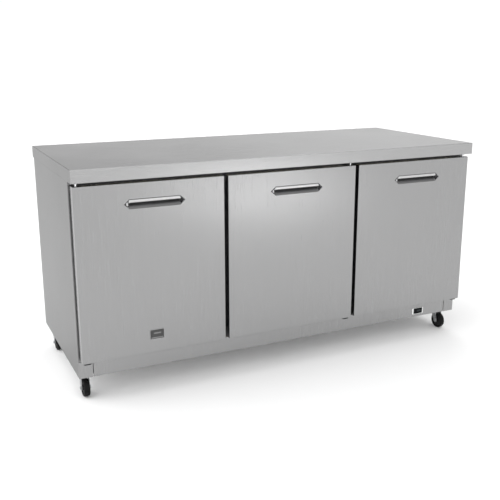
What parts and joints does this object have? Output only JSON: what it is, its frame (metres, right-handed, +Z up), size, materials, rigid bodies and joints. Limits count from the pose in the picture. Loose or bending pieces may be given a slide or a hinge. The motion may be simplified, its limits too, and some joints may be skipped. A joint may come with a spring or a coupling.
{
  "type": "worktop reach-in refrigerator",
  "caption": "Low stainless reach-in refrigerator under a worktop, with hinged doors, recessed pulls, inside shelves and swivel casters.",
  "frame": {"origin": "on the floor under the middle of the worktop", "axes": "+Z up, +X to the right of a person facing the doors, the doors face -Y"},
  "size_m": [1.829, 0.762, 0.926],
  "materials": {
    "stainless": "satin",
    "galvanised": "satin",
    "foam": "matte",
    "door_core": "satin",
    "liner_metal": "satin",
    "fin_aluminium": "satin",
    "dark_plastic": "satin",
    "light_plastic": "satin",
    "display": "gloss",
    "gasket_rubber": "matte",
    "wheel_rubber": "satin",
    "black_enamel": "satin",
    "zinc_steel": "gloss",
    "bright_wire": "gloss",
    "bright_metal": "polished"
  },
  "bodies": {
    "cabinet": {"worktop": "stainless", "side_panel_left": "stainless", "side_panel_right": "stainless", "back_panel": "galvanised", "insulation_body": "foam", "inner_liner": "liner_metal", "front_frame": "stainless", "mullion_left": "dark_plastic", "mullion_right": "dark_plastic", "base_pan": "galvanised", "kick_panel": "stainless", "corner_post_left": "stainless", "corner_post_right": "stainless", "controller_bezel": "light_plastic", "controller_display": "display", "shelf_left": "bright_wire", "shelf_middle": "bright_wire", "shelf_right": "bright_wire", "evaporator_housing": "liner_metal", "evaporator_coil": "fin_aluminium", "evaporator_fan_motor": "dark_plastic", "compressor": "black_enamel", "condenser_coil": "fin_aluminium", "condenser_fan_motor": "black_enamel", "rear_grille": "galvanised", "drain_pan": "galvanised", "power_inlet": "dark_plastic", "hinge_top_left": "zinc_steel", "hinge_bottom_left": "zinc_steel", "hinge_top_middle": "zinc_steel", "hinge_bottom_middle": "zinc_steel", "hinge_top_right": "zinc_steel", "hinge_bottom_right": "zinc_steel"},
    "door_left": {"door_skin_left": "stainless", "door_core_left": "door_core", "door_gasket_left": "gasket_rubber", "handle_left": "bright_metal", "badge_plate": "bright_metal"},
    "door_middle": {"door_skin_middle": "stainless", "door_core_middle": "door_core", "door_gasket_middle": "gasket_rubber", "handle_middle": "bright_metal"},
    "door_right": {"door_skin_right": "stainless", "door_core_right": "door_core", "door_gasket_right": "gasket_rubber", "handle_right": "bright_metal"},
    "caster_front_left": {"caster_fork_front_left": "zinc_steel", "caster_axle_front_left": "zinc_steel"},
    "wheel_front_left": {"caster_wheel_front_left": "wheel_rubber"},
    "caster_front_right": {"caster_fork_front_right": "zinc_steel", "caster_axle_front_right": "zinc_steel"},
    "wheel_front_right": {"caster_wheel_front_right": "wheel_rubber"},
    "caster_rear_left": {"caster_fork_rear_left": "zinc_steel", "caster_axle_rear_left": "zinc_steel"},
    "wheel_rear_left": {"caster_wheel_rear_left": "wheel_rubber"},
    "caster_rear_right": {"caster_fork_rear_right": "zinc_steel", "caster_axle_rear_right": "zinc_steel"},
    "wheel_rear_right": {"caster_wheel_rear_right": "wheel_rubber"},
    "evaporator_rotor": {"evaporator_fan": "dark_plastic"},
    "condenser_rotor": {"condenser_fan": "dark_plastic"}
  },
  "joints": [
    {"name": "door_left_hinge", "type": "hinge", "parent": "cabinet", "child": "door_left", "pos_m": [-0.889, -0.346, 0.177], "axis": [0, 0, -1], "range_deg": [0, 90]},
    {"name": "door_middle_hinge", "type": "hinge", "parent": "cabinet", "child": "door_middle", "pos_m": [0.279, -0.346, 0.177], "axis": [0, 0, 1], "range_deg": [0, 90]},
    {"name": "door_right_hinge", "type": "hinge", "parent": "cabinet", "child": "door_right", "pos_m": [0.889, -0.346, 0.177], "axis": [0, 0, 1], "range_deg": [0, 90]},
    {"name": "caster_front_left_swivel", "type": "hinge", "parent": "cabinet", "child": "caster_front_left", "pos_m": [-0.879, -0.239, 0.0962], "axis": [0, 0, 1], "continuous": true},
    {"name": "wheel_front_left_roll", "type": "hinge", "parent": "caster_front_left", "child": "wheel_front_left", "pos_m": [-0.879, -0.261, 0.03677], "axis": [1, 0, 0], "continuous": true},
    {"name": "caster_front_right_swivel", "type": "hinge", "parent": "cabinet", "child": "caster_front_right", "pos_m": [0.879, -0.239, 0.0962], "axis": [0, 0, 1], "continuous": true},
    {"name": "wheel_front_right_roll", "type": "hinge", "parent": "caster_front_right", "child": "wheel_front_right", "pos_m": [0.879, -0.261, 0.03677], "axis": [1, 0, 0], "continuous": true},
    {"name": "caster_rear_left_swivel", "type": "hinge", "parent": "cabinet", "child": "caster_rear_left", "pos_m": [-0.879, 0.291, 0.0962], "axis": [0, 0, 1], "continuous": true},
    {"name": "wheel_rear_left_roll", "type": "hinge", "parent": "caster_rear_left", "child": "wheel_rear_left", "pos_m": [-0.879, 0.269, 0.03677], "axis": [1, 0, 0], "continuous": true},
    {"name": "caster_rear_right_swivel", "type": "hinge", "parent": "cabinet", "child": "caster_rear_right", "pos_m": [0.879, 0.291, 0.0962], "axis": [0, 0, 1], "continuous": true},
    {"name": "wheel_rear_right_roll", "type": "hinge", "parent": "caster_rear_right", "child": "wheel_rear_right", "pos_m": [0.879, 0.269, 0.03677], "axis": [1, 0, 0], "continuous": true},
    {"name": "evaporator_fan_spin", "type": "hinge", "parent": "cabinet", "child": "evaporator_rotor", "pos_m": [0, 0.228, 0.7], "axis": [0, 1, 0], "continuous": true},
    {"name": "condenser_fan_spin", "type": "hinge", "parent": "cabinet", "child": "condenser_rotor", "pos_m": [0.37, 0.275, 0.235], "axis": [0, 1, 0], "continuous": true}
  ]
}
